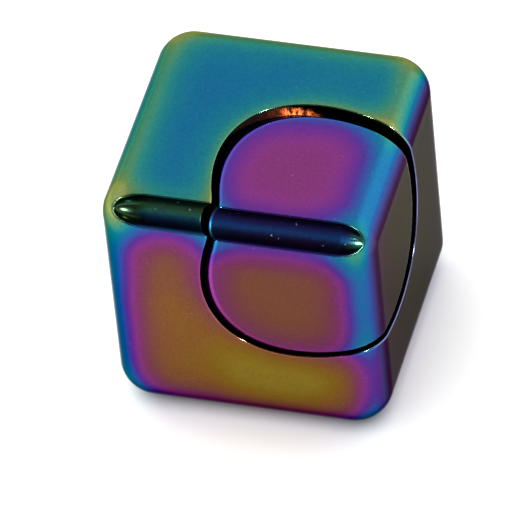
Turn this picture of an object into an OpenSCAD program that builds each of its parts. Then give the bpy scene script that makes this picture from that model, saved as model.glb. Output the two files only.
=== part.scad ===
// Corner-spinner fidget cube.
// Front face is -Y, right is +X, top is +Z; the origin is the centre of the cube.
// The spin axis is the body diagonal towards the top front right corner.

/* [Cube] */
// Length of each side of the cube (mm)
cube_side = 25; // [24:0.1:27]
// Radius of the rounded edges and corners (mm)
edge_radius = 3.4; // [2.8:0.1:4]

/* [Corner caps] */
// Width of the ring gap between a cap and the cube, all round when centred (mm)
cap_gap = 0.66; // [0.55:0.01:0.9]
// Height of a cap's flat underside above the centre, along the spin axis (mm)
cap_floor = 5.0; // [4.6:0.1:5.6]
// Sideways play taken up by the upper cap, towards the lower left of the spin axis (mm)
cap_play_side = -0.237; // [-0.3:0.001:0.3]
// Sideways play taken up by the upper cap, across the other way (mm)
cap_play_down = -0.186; // [-0.3:0.001:0.3]
// How far the lower cap sits in from the cube's faces along the spin axis (mm)
lower_cap_inset = 0.06; // [0:0.01:0.2]
// Diameter of the stem that goes into the bearing (mm)
stem_d = 7.98; // [7.96:0.01:8]
// Depth of the tapped hole in each stem, from the cap's underside (mm)
stud_hole_depth = 3.5; // [2.5:0.5:5]

/* [Finger groove] */
// Radius of the half-round groove (mm)
groove_radius = 1.4; // [1:0.1:1.8]
// Distance of the groove's axis in from the sharp edge, on each face (mm)
groove_inset = 1.19; // [0.9:0.01:1.6]
// Where the groove starts to narrow on the cube, left of the centre (mm)
groove_left = 8.1; // [6:0.1:9]
// Where the groove starts to narrow on the cap, right of the centre (mm)
groove_right = 9.55; // [6:0.05:10]
// Length of the taper at each end of the groove, to the centre of its ball end (mm)
nose_length = 1.83; // [1.4:0.01:2.2]
// Radius of the ball that ends each taper (mm)
nose_ball = 1.0; // [0.7:0.05:1.2]

/* [Bearing] */
// Outside diameter of the ball bearing (mm)
bearing_od = 22; // [22]
// Bore of the ball bearing (mm)
bearing_id = 8; // [8]
// Width of the ball bearing (mm)
bearing_w = 7; // [7]
// Diameter of each ball (mm)
ball_d = 3.969; // [3.969]
// Diameter of the circle through the ball centres (mm)
ball_pitch_d = 15; // [15]
// Number of balls
ball_count = 7; // [7]

/* [Stud] */
// Diameter of the headless stud that joins the caps (mm)
stud_d = 4; // [3:0.5:5]
// Length of the stud (mm)
stud_len = 16; // [12:1:16]

/* [Hidden] */
$fn = 128;
eps = 0.01;
half = cube_side / 2;
core = half - edge_radius;
bore_r = bearing_od / 2;
cap_r = bore_r - cap_gap;
axis_tilt = acos(1 / sqrt(3));
play = [cap_play_side / sqrt(2) - cap_play_down / sqrt(6),
        cap_play_side / sqrt(2) + cap_play_down / sqrt(6),
        2 * cap_play_down / sqrt(6)];
inset_v = lower_cap_inset / sqrt(3);
pitch_r = ball_pitch_d / 2;
ball_r = ball_d / 2;
race_r = 0.52 * ball_d;
run = 0.01;
nose_angle = acos(nose_ball / sqrt(groove_radius * groove_radius + nose_length * nose_length)) - atan(nose_length / groove_radius);
inner_land = 6.0;
outer_land = 9.0;
hw = bearing_w / 2;
seat_w = 2.75;
shield_t = 0.3;
spacer_r = 5.75;

// Turns the local Z axis onto the spin axis, towards the top front right corner.
module on_axis() { rotate(a = axis_tilt, v = [1, 1, 0]) children(); }
// The same part at the opposite corner: half a turn about a line across the spin axis.
module opposite() { rotate(a = 180, v = [0, 1, 1]) children(); }

// A cube with every edge and corner rounded, from boxes, edge rods and corner balls.
module rounded_cube() {
    union() {
        cube([2 * half, 2 * core, 2 * core], center = true);
        cube([2 * core, 2 * half, 2 * core], center = true);
        cube([2 * core, 2 * core, 2 * half], center = true);
        for (a = [-1, 1], b = [-1, 1]) {
            translate([0, a * core, b * core]) rotate([0, 90, 0]) cylinder(r = edge_radius, h = 2 * core, center = true);
            translate([a * core, 0, b * core]) rotate([90, 0, 0]) cylinder(r = edge_radius, h = 2 * core, center = true);
            translate([a * core, b * core, 0]) cylinder(r = edge_radius, h = 2 * core, center = true);
        }
        for (a = [-1, 1], b = [-1, 1], c = [-1, 1])
            translate([a * core, b * core, c * core]) rotate([0, 0, b > 0 ? 135 - a * 45 : a > 0 ? 0 : 270]) sphere(r = edge_radius);
    }
}

// Half profile of one end of the groove cutter: a short cone that runs into a ball.
module groove_end() {
    polygon([[0, 0], [groove_radius, 0], [nose_ball * cos(nose_angle), nose_length + nose_ball * sin(nose_angle)],
             [0, nose_length + nose_ball * sin(nose_angle)]]);
    translate([0, nose_length]) intersection() {
        circle(r = nose_ball);
        translate([0, nose_ball * sin(nose_angle)]) square(nose_ball);
    }
}
// Cutter for the groove along the top front edge: a round bar with a tapered end each way.
module groove_cutter() {
    translate([0, -half + groove_inset, half - groove_inset]) rotate([0, 90, 0]) rotate_extrude() {
        translate([0, -groove_left]) square([groove_radius, groove_left + groove_right]);
        translate([0, groove_right]) groove_end();
        translate([0, -groove_left]) mirror([0, 1]) groove_end();
    }
}

module cube_body() {
    color("#4a3f7a") difference() {
        rounded_cube();
        on_axis() cylinder(r = bore_r, h = 60, center = true);
        groove_cutter();
        opposite() groove_cutter();
    }
}

// The stem that goes through the spacer into the inner ring.
module stem() {
    on_axis() translate([0, 0, 0.15]) cylinder(d = stem_d, h = cap_floor - 0.15 + 0.5);
}
module stud_hole() {
    on_axis() translate([0, 0, -1]) cylinder(d = stud_d, h = 1 + cap_floor + stud_hole_depth);
}
// The part of the rounded cube that belongs to the cap, with its half of the groove.
module cap_corner() {
    difference() {
        intersection() {
            rounded_cube();
            on_axis() translate([0, 0, cap_floor]) cylinder(r = cap_r, h = 30);
        }
        groove_cutter();
    }
}
module upper_cap() {
    color("#7a3f7a") difference() {
        union() {
            translate(play) cap_corner();
            stem();
        }
        stud_hole();
    }
}
module lower_cap() {
    color("#7a3f7a") opposite() difference() {
        union() {
            translate([-inset_v, inset_v, -inset_v]) difference() {
                intersection() {
                    rounded_cube();
                    on_axis() translate([0, 0, cap_floor + lower_cap_inset]) cylinder(r = cap_r, h = 30);
                }
                groove_cutter();
            }
            stem();
        }
        stud_hole();
    }
}

module joining_stud() {
    color("#8a8d90") on_axis() difference() {
        union() {
            cylinder(d = stud_d, h = stud_len - 1, center = true);
            for (s = [-1, 1]) rotate([s < 0 ? 180 : 0, 0, 0])
                translate([0, 0, stud_len / 2 - 0.5]) cylinder(r1 = stud_d / 2, r2 = stud_d / 2 - 0.5, h = 0.5, $fn = 64);
        }
        translate([0, 0, stud_len / 2 - 2]) cylinder(d = 2.31, h = 3, $fn = 6);
    }
}

module spacer() {
    color("#b08d57") on_axis() translate([0, 0, hw]) difference() {
        cylinder(r = spacer_r, h = cap_floor - hw);
        translate([0, 0, -1]) cylinder(d = 8.04, h = 4);
    }
}
module upper_spacer() { spacer(); }
module lower_spacer() { opposite() spacer(); }

module bearing_outer_ring() {
    color("#b9bcc0") on_axis() rotate_extrude() difference() {
        polygon([[outer_land, -seat_w], [9.75, -seat_w], [9.75, -3.05], [9.97, -3.05], [9.97, -3.33], [9.75, -3.33], [9.75, -hw],
                 [bore_r - 0.3, -hw], [bore_r, -hw + 0.3], [bore_r, hw - 0.3], [bore_r - 0.3, hw],
                 [9.75, hw], [9.75, 3.33], [9.97, 3.33], [9.97, 3.05], [9.75, 3.05], [9.75, seat_w], [outer_land, seat_w]]);
        translate([pitch_r + ball_r + run - race_r, 0]) circle(r = race_r);
    }
}
module bearing_inner_ring() {
    color("#b9bcc0") on_axis() rotate_extrude() difference() {
        polygon([[bearing_id / 2, -hw + 0.3], [bearing_id / 2 + 0.3, -hw], [inner_land - 0.2, -hw], [inner_land, -hw + 0.2],
                 [inner_land, hw - 0.2], [inner_land - 0.2, hw], [bearing_id / 2 + 0.3, hw], [bearing_id / 2, hw - 0.3]]);
        translate([pitch_r - ball_r - run + race_r, 0]) circle(r = race_r);
    }
}

// Half of the pressed cage: a ring with seven cups over the balls.
module cage_half() {
    color("#9c9a8c") on_axis() difference() {
        intersection() {
            union() {
                translate([0, 0, 0]) cylinder(r = 9, h = 0.35);
                for (i = [0 : ball_count - 1]) rotate([0, 0, i * 360 / ball_count]) translate([pitch_r, 0, 0]) sphere(r = 2.36);
            }
            difference() {
                cylinder(r = 8.3, h = 3);
                translate([0, 0, -1]) cylinder(r = 6.7, h = 5);
            }
        }
        for (i = [0 : ball_count - 1]) rotate([0, 0, i * 360 / ball_count]) translate([pitch_r, 0, 0]) sphere(r = ball_r + 0.05);
        for (i = [0 : ball_count - 1]) rotate([0, 0, (i + 0.5) * 360 / ball_count]) translate([pitch_r, 0, -1]) cylinder(r = 0.3, h = 3, $fn = 32);
    }
}
module upper_cage_half() { cage_half(); }
module lower_cage_half() { mirror([1, -1, 1]) cage_half(); }
module cage_rivets() {
    color("#8a8d90") on_axis() for (i = [0 : ball_count - 1]) rotate([0, 0, (i + 0.5) * 360 / ball_count]) translate([pitch_r, 0, 0]) {
        cylinder(r = 0.3, h = 0.7, center = true, $fn = 32);
        for (s = [-1, 1]) translate([0, 0, s * 0.45]) cylinder(r = 0.55, h = 0.2, center = true, $fn = 32);
    }
}

module ball(i) {
    color("#d5d8dc") on_axis() rotate([0, 0, (i - 1) * 360 / ball_count]) translate([pitch_r, 0, 0]) sphere(r = ball_r);
}

module shield() {
    color("#c3c6ca") on_axis() translate([0, 0, seat_w]) difference() {
        cylinder(r = 9.72, h = shield_t);
        translate([0, 0, -1]) cylinder(r = 6.15, h = 3);
    }
}
module shield_clip() {
    color("#77797c") on_axis() translate([0, 0, 3.06]) difference() {
        cylinder(r = 9.94, h = 0.26);
        translate([0, 0, -1]) cylinder(r = 9.45, h = 3);
        translate([9.7, 0, 0]) cube([2, 1.6, 3], center = true);
    }
}
module upper_shield() { shield(); }
module lower_shield() { opposite() shield(); }
module upper_shield_clip() { shield_clip(); }
module lower_shield_clip() { opposite() shield_clip(); }

cube_body();
upper_cap();
lower_cap();
joining_stud();
upper_spacer();
lower_spacer();
bearing_outer_ring();
bearing_inner_ring();
upper_cage_half();
lower_cage_half();
cage_rivets();
ball(1);  // ball_1
ball(2);  // ball_2
ball(3);  // ball_3
ball(4);  // ball_4
ball(5);  // ball_5
ball(6);  // ball_6
ball(7);  // ball_7
upper_shield();
lower_shield();
upper_shield_clip();
lower_shield_clip();
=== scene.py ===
import math

import bpy
import numpy as np
import openvdb as vdb
from mathutils import Matrix, Vector


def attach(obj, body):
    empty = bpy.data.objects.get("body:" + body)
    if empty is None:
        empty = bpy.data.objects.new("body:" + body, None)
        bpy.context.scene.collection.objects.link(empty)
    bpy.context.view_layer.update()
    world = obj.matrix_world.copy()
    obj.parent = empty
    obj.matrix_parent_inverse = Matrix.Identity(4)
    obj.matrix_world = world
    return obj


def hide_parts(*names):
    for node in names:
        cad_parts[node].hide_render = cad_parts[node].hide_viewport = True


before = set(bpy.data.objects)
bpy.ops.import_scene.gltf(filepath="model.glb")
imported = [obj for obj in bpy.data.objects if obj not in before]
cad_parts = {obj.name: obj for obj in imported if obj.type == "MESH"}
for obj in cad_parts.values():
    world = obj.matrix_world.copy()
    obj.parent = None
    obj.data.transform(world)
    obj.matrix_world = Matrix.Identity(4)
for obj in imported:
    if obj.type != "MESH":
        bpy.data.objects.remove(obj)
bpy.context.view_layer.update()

# ---------------------------------------------------------------- the object's own dimensions, in mm
HALF = 12.5
EDGE = 3.4
CORE = HALF - EDGE
AXIS = np.array([1.0, -1.0, 1.0]) / math.sqrt(3.0)
BORE = 11.0
CAP_R = BORE - 0.66
FLOOR = 5.0
GROOVE_R, GROOVE_IN = 1.4, 1.19
GROOVE_L, GROOVE_RIGHT = 8.1, 9.55
NOSE_BACK, NOSE_TIP = 0.9, 2.83     # where the egg-shaped end of the groove is centred, and where it ends
SIDE, DOWN = -0.237, -0.186
PLAY = (SIDE / math.sqrt(2) - DOWN / math.sqrt(6), SIDE / math.sqrt(2) + DOWN / math.sqrt(6), 2 * DOWN / math.sqrt(6))
INSET = 0.06
RIM_R = 0.20      # rounding of the rims along the ring gap
LIP_R = 0.12      # rounding of the lips of the finger groove


# ---------------------------------------------------------------- exact distance functions of the castings
def d_cube(x, y, z):
    qx, qy, qz = np.abs(x) - CORE, np.abs(y) - CORE, np.abs(z) - CORE
    m = np.maximum(np.maximum(qx, qy), qz)
    qx, qy, qz = np.maximum(qx, 0), np.maximum(qy, 0), np.maximum(qz, 0)
    return np.sqrt(qx * qx + qy * qy + qz * qz) + np.minimum(m, 0) - EDGE


def d_bar(x, y, z):
    """Distance to the round bar with tapered, egg-shaped ends that cuts the finger groove."""
    rho = np.sqrt((y + HALF - GROOVE_IN) ** 2 + (z - HALF + GROOVE_IN) ** 2)
    e = np.where(x > 0, x - GROOVE_RIGHT, -x - GROOVE_L)
    long = NOSE_TIP + NOSE_BACK
    fat = GROOVE_R / math.sqrt(1 - (NOSE_BACK / long) ** 2)
    u, v = (np.maximum(e, 0) + NOSE_BACK) / long, rho / fat
    k0 = np.sqrt(u * u + v * v)
    k1 = np.sqrt((u / long) ** 2 + (v / fat) ** 2)
    return np.where(e < 0, rho - GROOVE_R, k0 * (k0 - 1) / k1)


def axial(x, y, z):
    w = x * AXIS[0] + y * AXIS[1] + z * AXIS[2]
    return w, np.sqrt(np.maximum(x * x + y * y + z * z - w * w, 1e-9))


def rmax(a, b, r):
    """Intersection of two solids with a rounded edge of radius r, never outside either."""
    u, v = np.maximum(a + r, 0), np.maximum(b + r, 0)
    return np.minimum(np.maximum(a, b), -r) + np.sqrt(u * u + v * v)


def f_body(x, y, z):
    s = rmax(d_cube(x, y, z), -d_bar(x, y, z), LIP_R)
    s = rmax(s, -d_bar(-x, z, y), LIP_R)
    _, rr = axial(x, y, z)
    return rmax(s, BORE - rr, RIM_R)


def f_cap_at(x, y, z, play):
    """The upper cap. Its corner may sit off the axis by play; its stem and tapped hole don't."""
    px, py, pz = x - play[0], y - play[1], z - play[2]
    s = rmax(d_cube(px, py, pz), -d_bar(px, py, pz), LIP_R)
    w, rr = axial(px, py, pz)
    s = rmax(s, rr - CAP_R, RIM_R)
    s = rmax(s, FLOOR - w, 0.15)
    w, rr = axial(x, y, z)
    stem = rmax(rr - 3.99, np.maximum(0.15 - w, w - FLOOR - 0.4), 0.12)
    s = np.minimum(s, stem)
    hole = np.maximum(rr - 2.0, w - 8.5)
    return rmax(s, -hole, 0.08)


def f_upper(x, y, z):
    return f_cap_at(x, y, z, PLAY)


def f_lower(x, y, z):
    i = INSET / math.sqrt(3.0)
    return f_cap_at(-x, z, y, (-i, i, -i))


def skin(name, f, lo, hi, voxel, adapt):
    """Meshes the zero level of f (mm), puts every vertex exactly on it, and gives it the true normals."""
    lo, hi = np.array(lo, float), np.array(hi, float)
    n = np.ceil((hi - lo) / voxel).astype(int) + 1
    ax = [(lo[k] + np.arange(n[k]) * voxel).astype(np.float32) for k in range(3)]
    field = np.empty(tuple(n), np.float32)
    Y, Z = np.meshgrid(ax[1], ax[2], indexing="ij")
    for i in range(n[0]):
        field[i] = f(np.full_like(Y, ax[0][i]), Y, Z)
    np.clip(field, -3 * voxel, 3 * voxel, out=field)
    grid = vdb.FloatGrid(3 * voxel)
    grid.copyFromArray(field)
    pts, tris, quads = grid.convertToPolygons(0.0, adapt)
    P = pts.astype(np.float64) * voxel + lo

    def value_and_gradient(P):
        x, y, z = P.T
        e = 1e-4
        g = np.stack([f(x + e, y, z) - f(x - e, y, z), f(x, y + e, z) - f(x, y - e, z), f(x, y, z + e) - f(x, y, z - e)], 1)
        return f(x, y, z), g / (2 * e)

    for _ in range(4):
        v, g = value_and_gradient(P)
        P = P - (v / np.maximum((g * g).sum(1), 0.3))[:, None] * g
    _, g = value_and_gradient(P)
    N = g / np.maximum(np.linalg.norm(g, axis=1), 1e-9)[:, None]
    mesh = bpy.data.meshes.new(name)
    faces = [tuple(int(i) for i in t[::-1]) for t in tris] + [tuple(int(i) for i in q[::-1]) for q in quads]
    mesh.from_pydata((P * 0.001).tolist(), [], faces)
    mesh.validate()
    # make sure that the faces look outwards
    if mesh.polygons:
        p0 = mesh.polygons[0]
        if Vector(N[p0.vertices[0]]).dot(p0.normal) < 0:
            mesh.flip_normals()
    mesh.polygons.foreach_set("use_smooth", [True] * len(mesh.polygons))
    mesh.normals_split_custom_set_from_vertices(N.tolist())
    mesh.update()
    ob = bpy.data.objects.new(name, mesh)
    bpy.context.scene.collection.objects.link(ob)
    return ob


VOX = 0.07
E = HALF + 0.35
body = skin("cube_casting", f_body, (-E, -E, -E), (E, E, E), VOX, 0.004)
upper = skin("upper_cap_casting", f_upper, (-4.6, -E, -4.6), (E, 4.6, E), VOX, 0.004)
lower = skin("lower_cap_casting", f_lower, (-E, -4.6, -E), (4.6, E, 4.6), VOX, 0.004)
for piece, node, owner, slot in ((body, "cube_body", "cube", "rainbow_coating_body"), (upper, "upper_cap", "caps", "rainbow_coating_cap"),
                                 (lower, "lower_cap", "caps", "rainbow_coating_cap")):
    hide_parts(node)
    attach(piece, owner)
    print(piece.name, len(piece.data.vertices), "verts", len(piece.data.polygons), "faces")


# ---------------------------------------------------------------- node helpers
class Nodes:
    """Writes arithmetic as shader nodes: every value is a socket or a number."""

    def __init__(self, tree):
        self.t = tree

    def node(self, kind, **props):
        n = self.t.nodes.new(kind)
        for k, v in props.items():
            setattr(n, k, v)
        return n

    def put(self, socket, value):
        if isinstance(value, (int, float)):
            socket.default_value = float(value)
        else:
            self.t.links.new(value, socket)

    def m(self, op, a, b=None, c=None, clamp=False):
        n = self.node("ShaderNodeMath", operation=op, use_clamp=clamp)
        self.put(n.inputs[0], a)
        if b is not None:
            self.put(n.inputs[1], b)
        if c is not None:
            self.put(n.inputs[2], c)
        return n.outputs[0]

    def add(self, *xs):
        out = xs[0]
        for x in xs[1:]:
            out = self.m("ADD", out, x)
        return out

    def mul(self, *xs):
        out = xs[0]
        for x in xs[1:]:
            out = self.m("MULTIPLY", out, x)
        return out

    def sub(self, a, b):
        return self.m("SUBTRACT", a, b)

    def sq(self, a):
        return self.m("MULTIPLY", a, a)

    def absol(self, a):
        return self.m("ABSOLUTE", a)

    def exp_(self, a):
        return self.m("EXPONENT", a)

    def bell(self, a, width):
        """1 at a = 0, falling off as a Gaussian of that width."""
        return self.exp_(self.mul(self.sq(self.mul(a, 1.0 / width)), -1.0))

    def curve(self, value, heights):
        """A smooth curve through the heights at the places in STATIONS; value is in mm from -12.5 to 12.5."""
        n = self.node("ShaderNodeFloatCurve")
        c = n.mapping.curves[0]
        pts = [((p + HALF) / (2 * HALF), q) for p, q in zip(STATIONS, heights)]
        c.points[0].location = pts[0]
        c.points[1].location = pts[-1]
        for p in pts[1:-1]:
            c.points.new(*p)
        for p in c.points:
            p.handle_type = "AUTO_CLAMPED"
        n.mapping.use_clip = True
        n.mapping.clip_min_y, n.mapping.clip_max_y = -1.0, 2.0
        n.mapping.update()
        self.put(n.inputs["Value"], self.m("MULTIPLY_ADD", value, 1 / (2 * HALF), 0.5))
        return n.outputs["Value"]

    def fade(self, value, lo, hi, to_lo=0.0, to_hi=1.0, straight=False):
        """to_lo below lo, to_hi above hi, smooth between."""
        n = self.node("ShaderNodeMapRange", interpolation_type="LINEAR" if straight else "SMOOTHSTEP", clamp=True)
        self.put(n.inputs["Value"], value)
        n.inputs["From Min"].default_value, n.inputs["From Max"].default_value = lo, hi
        n.inputs["To Min"].default_value, n.inputs["To Max"].default_value = to_lo, to_hi
        return n.outputs["Result"]

    def blend(self, share, first, second):
        n = self.node("ShaderNodeMix", data_type="RGBA")
        self.put(n.inputs[0], share)
        for sock, v in ((n.inputs[6], first), (n.inputs[7], second)):
            if isinstance(v, (list, tuple)):
                sock.default_value = v
            else:
                self.t.links.new(v, sock)
        return n.outputs[2]

    def ramp(self, value, stops):
        n = self.node("ShaderNodeValToRGB")
        els = n.color_ramp.elements
        n.color_ramp.interpolation = "LINEAR"
        els[0].position, els[0].color = stops[0][0], srgb(stops[0][1])
        els[1].position, els[1].color = stops[-1][0], srgb(stops[-1][1])
        for p, h in stops[1:-1]:
            els.new(p).color = srgb(h)
        self.t.links.new(value, n.inputs[0])
        return n.outputs[0]

    def turned(self, vector, stops):
        """Painted glint on painted shade, for a bored or machined bronze surface: five lighter sectors round the spin
        axis, the brightest towards the back and top, on the dark ground of the given stops, broken up by streaks.
        """
        n = self.node("ShaderNodeSeparateXYZ")
        self.t.links.new(vector, n.inputs[0])
        x, y, z = n.outputs
        a = self.mul(self.add(y, z), 1 / math.sqrt(2))
        b = self.mul(self.add(self.mul(x, -2.0), self.mul(y, -1.0), z), 1 / math.sqrt(6))
        angle = self.m("ARCTAN2", b, a)
        wave = self.m("MULTIPLY_ADD", self.m("COSINE", self.mul(self.sub(angle, 0.04), 5.0)), 0.5, 0.5)
        wave = self.mul(wave, self.fade(self.m("COSINE", angle), 0.45, 0.85, 0.72, 1.0))
        streaks = self.noise(vector, 2.2, 5.0, 0.65)
        return self.ramp(self.mul(self.sq(wave), wave, self.fade(streaks, 0.3, 0.62, 0.15, 1.2)), stops)

    def noise(self, vector, scale, detail, rough=0.5):
        n = self.node("ShaderNodeTexNoise", noise_dimensions="3D")
        self.t.links.new(vector, n.inputs["Vector"])
        n.inputs["Scale"].default_value = scale
        n.inputs["Detail"].default_value = detail
        n.inputs["Roughness"].default_value = rough
        return n.outputs[0]


def srgb(hexa):
    v = [int(hexa[i:i + 2], 16) / 255 for i in (0, 2, 4)]
    return [c / 12.92 if c <= 0.04045 else ((c + 0.055) / 1.055) ** 2.4 for c in v] + [1.0]


# The order of interference colours as the film gets thicker.
FILM = [(0.00, "8a7426"), (0.06, "83651f"), (0.13, "82552c"), (0.20, "7c4c3a"), (0.27, "793f4e"), (0.34, "7b3764"), (0.41, "80367b"),
        (0.48, "6b3189"), (0.54, "52358f"), (0.60, "3c4c9a"), (0.66, "2a5f9c"), (0.72, "1c6c96"), (0.78, "1f7a8c"), (0.84, "2f8780"),
        (0.90, "4d8c6c"), (0.96, "6a8c58"), (1.00, "8c9858")]
STATIONS = (-12.5, -11.4, -10.4, -9.4, -8.2, -6.5, -3.5, 0.0, 3.5, 6.5, 8.2, 9.4, 10.4, 11.4, 12.5)
AXES = {"right": (0, 1, 1, 2), "left": (0, -1, 1, 2), "back": (1, 1, 0, 2), "front": (1, -1, 0, 2), "top": (2, 1, 0, 1), "bottom": (2, -1, 0, 1)}


def film_with_painted_light(name, faces, rims, corners, ring, inward, play, flip, groove_painted_colours, groove_end_painted_colour, painted_shade_faces, painted_shade_gains):
    """The vapour-deposited film: its thickness, and so its colour, follows how far a point is from the edges of the
    casting; painted shade, painted reflection colours in the groove, painted highlights on the rims and a painted glint
    in the bore are laid over it.
    faces: for each face, the thickness along its two directions; rims: extra thickness along the ring gap, as
    (face, width, amount, slope along the first direction, slope along the second); corners: extra on an edge between
    two faces."""
    mat = bpy.data.materials.new(name)
    mat.use_nodes = True
    tree = mat.node_tree
    tree.nodes.clear()
    k = Nodes(tree)
    out = k.node("ShaderNodeOutputMaterial")
    bsdf = k.node("ShaderNodeBsdfPrincipled")
    tree.links.new(bsdf.outputs[0], out.inputs[0])
    co = k.node("ShaderNodeTexCoord")
    mm = k.node("ShaderNodeVectorMath", operation="SCALE")
    tree.links.new(co.outputs["Object"], mm.inputs[0])
    mm.inputs["Scale"].default_value = 1000.0
    place = k.node("ShaderNodeVectorMath", operation="SUBTRACT")
    tree.links.new(mm.outputs[0], place.inputs[0])
    place.inputs[1].default_value = play
    sep = k.node("ShaderNodeSeparateXYZ")
    tree.links.new(place.outputs[0], sep.inputs[0])
    p = sep.outputs

    # how much each face counts at this point of the rounded cube
    w = {}
    for f, (ax, sign, _, _) in AXES.items():
        w[f] = k.sq(k.m("MAXIMUM", k.sub(k.mul(p[ax], float(sign)), CORE), 0.0))
    total = k.m("MAXIMUM", k.add(*w.values()), 1e-4)
    share = {f: k.m("DIVIDE", w[f], total) for f in w}
    terms = []
    for f, (first, second) in faces.items():
        _, _, a, b = AXES[f]
        terms.append(k.mul(share[f], k.add(k.curve(p[a], first), k.curve(p[b], second))))
    # along the rim of the ring gap
    dot = k.mul(k.add(p[0], k.mul(p[1], -1.0), p[2]), 1 / math.sqrt(3))
    r2 = k.sub(k.add(k.sq(p[0]), k.sq(p[1]), k.sq(p[2])), k.sq(dot))
    rr = k.m("SQRT", k.m("MAXIMUM", r2, 0.0))
    off = k.mul(k.sub(rr, ring), float(inward))
    bells = {}
    for f, width, amount, du, dv in rims:
        if width not in bells:
            bells[width] = k.bell(off, width)
        _, _, a, b = AXES[f]
        amp = k.add(k.mul(p[a], du / HALF), k.mul(p[b], dv / HALF), amount)
        terms.append(k.mul(share[f], bells[width], amp))
    for f, g, amount in corners:
        terms.append(k.mul(share[f], share[g], 4.0 * amount))
    t = k.add(*terms)

    # where the finger groove is, how far round it and how far into its ends
    gy, gz = (p[1], p[2]) if not flip else (p[2], p[1])
    gx = p[0] if not flip else k.mul(p[0], -1.0)
    qy, qz = k.add(gy, HALF - GROOVE_IN), k.sub(gz, HALF - GROOVE_IN)
    rho = k.m("SQRT", k.add(k.sq(qy), k.sq(qz)))
    beyond = k.m("MAXIMUM", k.m("MAXIMUM", k.sub(gx, GROOVE_RIGHT), k.sub(k.mul(gx, -1.0), GROOVE_L)), 0.0)
    reach = k.m("SQRT", k.add(k.sq(rho), k.mul(k.sq(beyond), 0.22)))
    inside_groove = k.fade(reach, GROOVE_R - 0.02, GROOVE_R + 0.14, 1.0, 0.0)
    around = k.fade(k.m("ARCTAN2", qz, qy), math.radians(-130), math.radians(30), straight=True)

    # faint cloudiness of the coating, and the fine satin grain
    cloud = k.noise(mm.outputs[0], 0.16, 3.0)
    grain = k.noise(mm.outputs[0], 3.4, 4.0, 0.6)
    t = k.add(t, k.mul(k.sub(cloud, 0.5), 0.06), k.mul(k.sub(grain, 0.5), 0.035))
    base = k.ramp(t, FILM)
    depth = k.sub(EDGE, k.m("SQRT", total))
    inner = k.mul(k.fade(depth, 0.22, 0.8), k.sub(1.0, inside_groove))
    # painted shade: on each face listed the film colour is replaced by dark colours, violet-grey towards the edges and
    # a dark olive in the middle that darkens towards the back, except in a narrow band by the ring gap
    for f, amount in painted_shade_faces:
        flat = k.ramp(k.add(k.mul(p[1], 0.04), k.mul(k.sub(cloud, 0.5), 0.3), k.mul(k.sub(grain, 0.5), 0.1), 0.5),
                      [(0.06, "48325a"), (0.18, "453236"), (0.30, "3d3920"), (0.42, "383b17"), (0.54, "333c12"), (0.66, "2b350c"), (0.80, "1f3004"), (1.0, "1a2e02")])
        turn = k.ramp(share[f], [(0.78, "444b7c"), (0.87, "474470"), (0.93, "4b3e5c"), (0.98, "524255")])
        middle = k.fade(k.m("MAXIMUM", k.absol(p[1]), k.absol(p[2])), 7.4, 10.4, 1.0, 0.0)
        painted_shade_colour = k.blend(k.mul(k.fade(share[f], 0.955, 0.998), middle), turn, flat)
        base = k.blend(k.mul(k.fade(share[f], 0.68, 0.84), k.sub(1.0, k.bell(k.sub(off, 0.07), 0.16)), amount), base, painted_shade_colour)
    # painted highlight: a thin bright line along the rim of the ring gap, painted light blue-white on the right face
    painted_rim_highlight = k.mul(k.bell(k.sub(off, 0.06), 0.09), k.sub(1.0, inner))
    base = k.blend(k.mul(painted_rim_highlight, share["right"], 0.6), base, srgb("8fa0b6"))
    # painted shade and painted reflection: the groove is painted darker than the faces, in colours that change round it
    # and turn light blue at the lower lip, with a dark green at its ends; it is also duller
    groove_painted_light = k.ramp(k.add(around, k.mul(k.sub(grain, 0.5), 0.08), k.mul(k.sub(cloud, 0.5), 0.05)),
                       [((a + 130) / 160, h) for a, h in sorted(groove_painted_colours)])
    groove_painted_light = k.blend(k.fade(beyond, 0.2, 1.9), groove_painted_light, srgb(groove_end_painted_colour))
    base = k.blend(inside_groove, base, groove_painted_light)
    dust = k.noise(mm.outputs[0], 2.9, 0.0)
    base = k.blend(k.mul(k.fade(dust, 0.82, 0.87), k.add(k.mul(inside_groove, 0.5), 0.12)), base, srgb("b9bdb6"))
    # the bored and lathe-cut inner surfaces carry a thin bronze film, painted near black as shade and with a painted
    # glint towards the back and top
    base = k.blend(inner, base, k.turned(mm.outputs[0], [(0.0, "0c0504"), (0.5, "2a140a"), (1.0, "c87c44")]))
    # painted highlight: the rims of the ring gap are painted brighter, more on the front and less on the right face,
    # over the satin grain's fine light and dark flecks
    fine = k.noise(mm.outputs[0], 7.0, 2.0, 0.6)
    light = k.add(k.fade(grain, 0.2, 0.8, 0.94, 1.06), k.fade(fine, 0.25, 0.75, -0.09, 0.09), k.mul(painted_rim_highlight, k.add(k.mul(share["front"], 0.6), k.mul(share["right"], -0.4), 0.65)))
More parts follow.
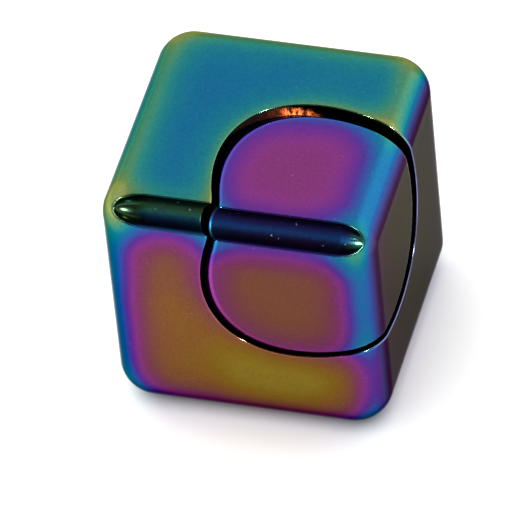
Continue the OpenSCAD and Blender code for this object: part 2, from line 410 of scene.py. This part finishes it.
    # painted shade: each face's colour is scaled by its own brightness gain, so some faces are painted darker than
    # others, and the groove is painted darker again
    painted_face_shade = k.add(*[k.mul(share[f], g) for f, g in painted_shade_gains.items()])
    light = k.mul(light, k.m("MAXIMUM", k.mul(painted_face_shade, k.sub(1.0, k.mul(inside_groove, 0.3))), k.m("MAXIMUM", k.mul(inside_groove, 0.68), k.mul(inner, 0.9))))
    tone = k.node("ShaderNodeVectorMath", operation="SCALE")
    tree.links.new(base, tone.inputs[0])
    k.put(tone.inputs["Scale"], light)
    tree.links.new(tone.outputs[0], bsdf.inputs["Base Color"])
    bsdf.inputs["Metallic"].default_value = 1.0
    bsdf.inputs["Specular Tint"].default_value = (0.36, 0.35, 0.343, 1.0)
    satin = k.mul(inside_groove, k.fade(beyond, 0.0, 1.3, 0.30, 0.08))
    rough = k.add(k.mul(grain, 0.06), k.mul(inner, 0.22), satin, 0.11)
    tree.links.new(rough, bsdf.inputs["Roughness"])
    bump = k.node("ShaderNodeBump")
    bump.inputs["Strength"].default_value = 0.15
    bump.inputs["Distance"].default_value = 0.00002
    tree.links.new(grain, bump.inputs["Height"])
    tree.links.new(bump.outputs[0], bsdf.inputs["Normal"])
    return mat


def back_to_front(values):
    return tuple(reversed(values))


TOP_X = (0.32, 0.24, 0.18, 0.11, 0.05, 0.01, 0.0, 0.0, 0.01, 0.02, 0.03, 0.07, 0.14, 0.24, 0.35)
TOP_Y = (0.90, 0.86, 0.83, 0.79, 0.74, 0.72, 0.71, 0.71, 0.71, 0.73, 0.76, 0.82, 0.88, 0.94, 1.0)
FRONT_X = (0.76, 0.63, 0.52, 0.38, 0.24, 0.15, 0.10, 0.0, -0.02, 0.01, 0.07, 0.17, 0.28, 0.41, 0.57)
FRONT_Z = (0.52, 0.39, 0.28, 0.17, 0.05, -0.01, -0.02, -0.02, 0.02, 0.06, 0.17, 0.30, 0.41, 0.51, 0.63)
BODY_FACES = {
    "right": ((0.10, 0.05, 0.02, 0.0, 0.0, 0.0, 0.0, 0.0, 0.0, 0.0, 0.0, 0.01, 0.03, 0.06, 0.10),
              (0.42, 0.39, 0.37, 0.36, 0.36, 0.36, 0.36, 0.36, 0.36, 0.36, 0.37, 0.40, 0.44, 0.50, 0.59)),
    "front": (FRONT_X, FRONT_Z),
    "top": (TOP_X, TOP_Y),
    "left": ((0.20, 0.24, 0.26, 0.24, 0.18, 0.08, 0.02, 0.0, 0.0, 0.02, 0.05, 0.08, 0.12, 0.16, 0.20),
             (0.58, 0.56, 0.56, 0.56, 0.56, 0.56, 0.56, 0.56, 0.56, 0.56, 0.57, 0.58, 0.60, 0.66, 0.74)),
    "back": (back_to_front(TOP_X), TOP_Y),
    "bottom": (back_to_front(FRONT_X), FRONT_Z),
}
BODY_RIMS = [("right", 0.16, 0.34, 0.0, 0.0), ("front", 0.5, 0.063, 0.0, 0.023), ("front", 1.6, 0.149, 0.091, 0.094), ("top", 0.5, 0.10, 0.0, 0.0), ("top", 1.6, 0.092, 0.052, -0.02),
             ("bottom", 0.5, 0.063, 0.0, 0.023), ("bottom", 1.6, 0.149, -0.091, 0.094), ("back", 0.5, 0.10, 0.0, 0.0), ("back", 1.6, 0.092, -0.052, -0.02)]
BODY_CORNERS = [("top", "right", 0.095), ("front", "right", 0.092), ("top", "left", 0.036), ("top", "back", 0.026)]
CAP_TOP_X = (0.26, 0.25, 0.24, 0.22, 0.21, 0.18, 0.11, 0.0, -0.02, -0.01, 0.04, 0.11, 0.165, 0.27, 0.40)
CAP_TOP_Y = (0.59, 0.55, 0.51, 0.47, 0.42, 0.40, 0.40, 0.45, 0.56, 0.58, 0.57, 0.56, 0.54, 0.53, 0.51)
CAP_FRONT_X = (0.40, 0.38, 0.37, 0.35, 0.32, 0.28, 0.17, 0.0, -0.04, -0.03, 0.02, 0.13, 0.23, 0.36, 0.52)
CAP_FRONT_Z = (0.46, 0.46, 0.46, 0.46, 0.46, 0.45, 0.39, 0.26, 0.23, 0.24, 0.35, 0.48, 0.59, 0.70, 0.83)
CAP_FACES = {
    "right": ((0.14, 0.08, 0.04, 0.01, 0.0, 0.0, 0.0, 0.0, 0.0, 0.0, 0.0, 0.0, 0.0, 0.0, 0.0),
              (0.36, 0.36, 0.36, 0.36, 0.36, 0.36, 0.36, 0.36, 0.36, 0.36, 0.37, 0.40, 0.44, 0.50, 0.57)),
    "front": (CAP_FRONT_X, CAP_FRONT_Z),
    "top": (CAP_TOP_X, CAP_TOP_Y),
}
CAP_RIMS = [("front", 0.35, 0.034, 0.0, 0.0), ("front", 1.3, 0.055, 0.024, 0.04), ("top", 0.35, 0.028, 0.0, -0.008), ("top", 1.3, 0.078, 0.032, 0.0)]
CAP_CORNERS = [("top", "right", 0.105), ("front", "right", 0.15)]
LOWER_FACES = {
    "left": ((0.04, 0.05, 0.10, 0.16, 0.20, 0.20, 0.20, 0.20, 0.20, 0.20, 0.20, 0.20, 0.20, 0.2, 0.2),
             (0.60, 0.50, 0.40, 0.30, 0.22, 0.18, 0.16, 0.16, 0.2, 0.2, 0.2, 0.2, 0.2, 0.2, 0.2)),
    "bottom": (back_to_front(CAP_FRONT_X), CAP_FRONT_Z),
    "back": (back_to_front(CAP_TOP_X), CAP_TOP_Y),
}
LOWER_RIMS = [("bottom", 0.35, 0.034, 0.0, 0.0), ("bottom", 1.3, 0.055, -0.024, 0.04), ("back", 0.35, 0.028, 0.0, -0.008), ("back", 1.3, 0.078, -0.032, 0.0)]
LOWER_CORNERS = [("bottom", "left", 0.12), ("back", "left", 0.10)]
# painted shade and reflection colours round the groove: degrees from the direction to the back, up is positive
BODY_GROOVE_PAINTED_LIGHT = [(20, "062219"), (10, "112c22"), (0, "162d1f"), (-10, "29422c"), (-20, "2d4c31"), (-30, "2d5840"), (-40, "1f4a45"), (-50, "0e2c37"),
              (-60, "0a1f2e"), (-70, "051420"), (-80, "040f1a"), (-90, "06101e"), (-100, "00132d"), (-110, "2f68a2"), (-120, "3e85d1")]
CAP_GROOVE_PAINTED_LIGHT = [(20, "181333"), (10, "161434"), (0, "17163a"), (-10, "1a1a44"), (-20, "1b2150"), (-30, "1b3064"), (-40, "113463"), (-50, "0d2a4e"),
             (-60, "0e1935"), (-70, "0c0f22"), (-80, "0d0a1a"), (-90, "0f0916"), (-100, "120825"), (-110, "231258"), (-120, "4b3ea7")]
# painted shade: the brightness gain of each face of each casting
BODY_PAINTED_SHADE = {"front": 0.75, "top": 0.89, "right": 0.79, "left": 1.0, "back": 0.89, "bottom": 0.71}
CAP_PAINTED_SHADE = {"front": 0.63, "top": 1.02, "right": 0.93, "left": 0.8, "back": 0.8, "bottom": 0.8}
LOWER_PAINTED_SHADE = {"bottom": 0.61, "back": 1.02, "left": 0.9, "right": 0.8, "top": 0.8, "front": 0.8}
NOWHERE = (0.0, 0.0, 0.0)
i3 = INSET / math.sqrt(3.0)
body.data.materials.append(film_with_painted_light("film_body_painted_light", BODY_FACES, BODY_RIMS, BODY_CORNERS, BORE, 1, NOWHERE, False, BODY_GROOVE_PAINTED_LIGHT, "3c5a3c", [("right", 0.94)], BODY_PAINTED_SHADE))
upper.data.materials.append(film_with_painted_light("film_upper_cap_painted_light", CAP_FACES, CAP_RIMS, CAP_CORNERS, CAP_R, -1, PLAY, False, CAP_GROOVE_PAINTED_LIGHT, "2a5544", [("right", 0.94)], CAP_PAINTED_SHADE))
lower.data.materials.append(film_with_painted_light("film_lower_cap_painted_light", LOWER_FACES, LOWER_RIMS, LOWER_CORNERS, CAP_R, -1, (i3, -i3, i3), True, CAP_GROOVE_PAINTED_LIGHT, "2a5544", [], LOWER_PAINTED_SHADE))


def metal(name, colour, rough, variation, scale, stretch=(1, 1, 1), sectors=None):
    mat = bpy.data.materials.new(name)
    mat.use_nodes = True
    tree = mat.node_tree
    tree.nodes.clear()
    k = Nodes(tree)
    out = k.node("ShaderNodeOutputMaterial")
    bsdf = k.node("ShaderNodeBsdfPrincipled")
    tree.links.new(bsdf.outputs[0], out.inputs[0])
    co = k.node("ShaderNodeTexCoord")
    mp = k.node("ShaderNodeMapping")
    mp.inputs["Scale"].default_value = [s * scale for s in stretch]
    tree.links.new(co.outputs["Object"], mp.inputs[0])
    noise = k.node("ShaderNodeTexNoise")
    tree.links.new(mp.outputs[0], noise.inputs["Vector"])
    noise.inputs["Scale"].default_value = 1.0
    noise.inputs["Detail"].default_value = 6.0
    ramp = k.node("ShaderNodeValToRGB")
    c = srgb(colour)
    ramp.color_ramp.elements[0].position, ramp.color_ramp.elements[1].position = 0.3, 0.7
    ramp.color_ramp.elements[0].color = [v * (1 - variation) for v in c[:3]] + [1]
    ramp.color_ramp.elements[1].color = [min(v * (1 + variation), 1) for v in c[:3]] + [1]
    tree.links.new(noise.outputs[0], ramp.inputs[0])
    tint = ramp.outputs[0]
    # painted glint and shade round the spin axis replace the tint when sectors are given
    if sectors:
        mm = k.node("ShaderNodeVectorMath", operation="SCALE")
        tree.links.new(co.outputs["Object"], mm.inputs[0])
        mm.inputs["Scale"].default_value = 1000.0
        tint = k.turned(mm.outputs[0], sectors)
    tree.links.new(tint, bsdf.inputs["Base Color"])
    bsdf.inputs["Metallic"].default_value = 1.0
    tree.links.new(k.m("MULTIPLY_ADD", noise.outputs[0], 0.15, rough), bsdf.inputs["Roughness"])
    bump = k.node("ShaderNodeBump")
    bump.inputs["Strength"].default_value = 0.15
    bump.inputs["Distance"].default_value = 0.00002
    tree.links.new(noise.outputs[0], bump.inputs["Height"])
    tree.links.new(bump.outputs[0], bsdf.inputs["Normal"])
    return mat


# painted glint: the bearing ring's bronze is painted near black as shade, with a bright sector towards the back and top
ring_bronze_painted_glint = metal("ring_bronze_painted_glint", "6e3a1c", 0.32, 0.3, 900, sectors=[(0.0, "0a0504"), (0.4, "2a1008"), (0.75, "7a3418"), (1.0, "cc6a36")])
steel = metal("ground_steel", "c6c8cb", 0.16, 0.08, 2500, (1, 1, 1))
ball_steel = metal("ball_steel", "d9dbde", 0.05, 0.03, 900)
cage_steel = metal("cage_steel", "b3ada0", 0.30, 0.12, 1800)
shield_steel = metal("shield_steel", "bcbfc3", 0.28, 0.08, 1500)
clip_steel = metal("clip_steel", "6a6b6e", 0.32, 0.15, 2000)
brass = metal("spacer_brass", "c79a55", 0.22, 0.08, 2200)
stud = metal("stud_steel", "8d9093", 0.30, 0.12, 2600)
GIVEN = {"joining_stud": stud, "upper_spacer": brass, "lower_spacer": brass, "bearing_outer_ring": ring_bronze_painted_glint, "bearing_inner_ring": steel,
         "upper_cage_half": cage_steel, "lower_cage_half": cage_steel, "cage_rivets": stud, "upper_shield": shield_steel, "lower_shield": shield_steel,
         "upper_shield_clip": clip_steel, "lower_shield_clip": clip_steel}
for i in range(1, 8):
    GIVEN["ball_%d" % i] = ball_steel
for n, mt in GIVEN.items():
    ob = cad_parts[n]
    ob.data.materials.clear()
    ob.data.materials.append(mt)

# ---------------------------------------------------------------- stage, light and camera
stage_mesh = bpy.data.meshes.new("floor")
S = 1.6
stage_mesh.from_pydata([(-S, -S, -0.0125), (S, -S, -0.0125), (S, S, -0.0125), (-S, S, -0.0125)], [], [(0, 1, 2, 3)])
floor = bpy.data.objects.new("floor", stage_mesh)
bpy.context.scene.collection.objects.link(floor)
fm = bpy.data.materials.new("floor_paper")
fm.use_nodes = True
fb = fm.node_tree.nodes["Principled BSDF"]
fb.inputs["Base Color"].default_value = (0.86, 0.86, 0.86, 1)
fb.inputs["Roughness"].default_value = 0.9
fb.inputs["Specular IOR Level"].default_value = 0.1
stage_mesh.materials.append(fm)

world = bpy.data.worlds.new("studio")
bpy.context.scene.world = world
world.use_nodes = True
wt = world.node_tree
wt.nodes.clear()
kw = Nodes(wt)
wo = kw.node("ShaderNodeOutputWorld")
bg = kw.node("ShaderNodeBackground")
wt.links.new(bg.outputs[0], wo.inputs[0])
wc = kw.node("ShaderNodeTexCoord")
ws = kw.node("ShaderNodeSeparateXYZ")
wt.links.new(wc.outputs["Generated"], ws.inputs[0])
dx, dy, dz = ws.outputs


def fade(value, lo, hi):
    """0 below lo, 1 above hi, smooth between."""
    n = kw.node("ShaderNodeMapRange", interpolation_type="SMOOTHSTEP", clamp=True)
    wt.links.new(value, n.inputs["Value"])
    n.inputs["From Min"].default_value, n.inputs["From Max"].default_value = lo, hi
    return n.outputs["Result"]


# a bright wall round the back and the sides, dark in front with a dim glow low down, and a brighter panel low at the back right
sideways = kw.mul(kw.absol(dx), kw.sub(1.0, dz), 0.35)
wall = fade(kw.add(dy, sideways), -0.06, 0.15)
front_glow = kw.mul(kw.sub(1.0, fade(dz, 0.35, 0.95)), 0.15)
toward = kw.add(kw.mul(dx, 0.80), kw.mul(dy, 0.56), kw.mul(dz, 0.20))
panel = kw.mul(fade(toward, 0.84, 0.97), 0.50)
level = kw.add(wall, front_glow, panel, 0.015)
wt.links.new(level, bg.inputs["Strength"])
bg.inputs["Color"].default_value = (1, 1, 1, 1)


def softbox(name, direction, distance, size, power, glossy=True, diffuse=True, tall=None):
    d = Vector(direction).normalized()
    li = bpy.data.lights.new(name, "AREA")
    li.shape = "ELLIPSE" if tall else "DISK"
    li.size = size
    if tall:
        li.size_y = tall
    li.energy = power
    ob = bpy.data.objects.new(name, li)
    bpy.context.scene.collection.objects.link(ob)
    ob.location = d * distance
    ob.rotation_euler = (-d).to_track_quat("-Z", "Y").to_euler()
    ob.visible_glossy = glossy
    ob.visible_diffuse = diffuse
    ob.visible_camera = False
    return ob


softbox("overhead", (-0.25, -0.15, 1.0), 1.2, 2.6, 40.0, glossy=False)
softbox("key_right", (0.603, -0.439, 0.665), 0.9, 0.10, 16.0, diffuse=False, tall=0.14)
softbox("key_left", (-0.785, -0.333, 0.528), 0.9, 0.11, 20.0, diffuse=False, tall=0.13)
softbox("key_low", (-0.637, -0.732, 0.242), 0.9, 0.08, 1.0, diffuse=False, tall=0.12)

RIGHT = Vector((0.9648, 0.2520, -0.0748))
DOWN_V = Vector((0.1266, -0.6950, -0.7078))
FWD = Vector((-0.2304, 0.6734, -0.7024))
RIGHT.normalize()
FWD = (FWD - RIGHT * FWD.dot(RIGHT)).normalized()
DOWN_V = FWD.cross(RIGHT).normalized()
cam_d = bpy.data.cameras.new("camera")
cam = bpy.data.objects.new("camera", cam_d)
bpy.context.scene.collection.objects.link(cam)
cam_d.sensor_width = 36.0
cam_d.lens = 8656.0 * 36.0 / 512.0
cam_d.clip_start, cam_d.clip_end = 0.05, 20.0
rot = Matrix((RIGHT, -DOWN_V, -FWD)).transposed()
loc = Vector((0.2296, -0.6764, 0.6999)).normalized() * 0.76916
loc += RIGHT * (-8.04 / 8656.0 * 0.76916) + DOWN_V * (-1.67 / 8656.0 * 0.76916)
cam.matrix_world = Matrix.Translation(loc) @ rot.to_4x4()
bpy.context.scene.camera = cam
bpy.context.scene.view_settings.view_transform = "Standard"
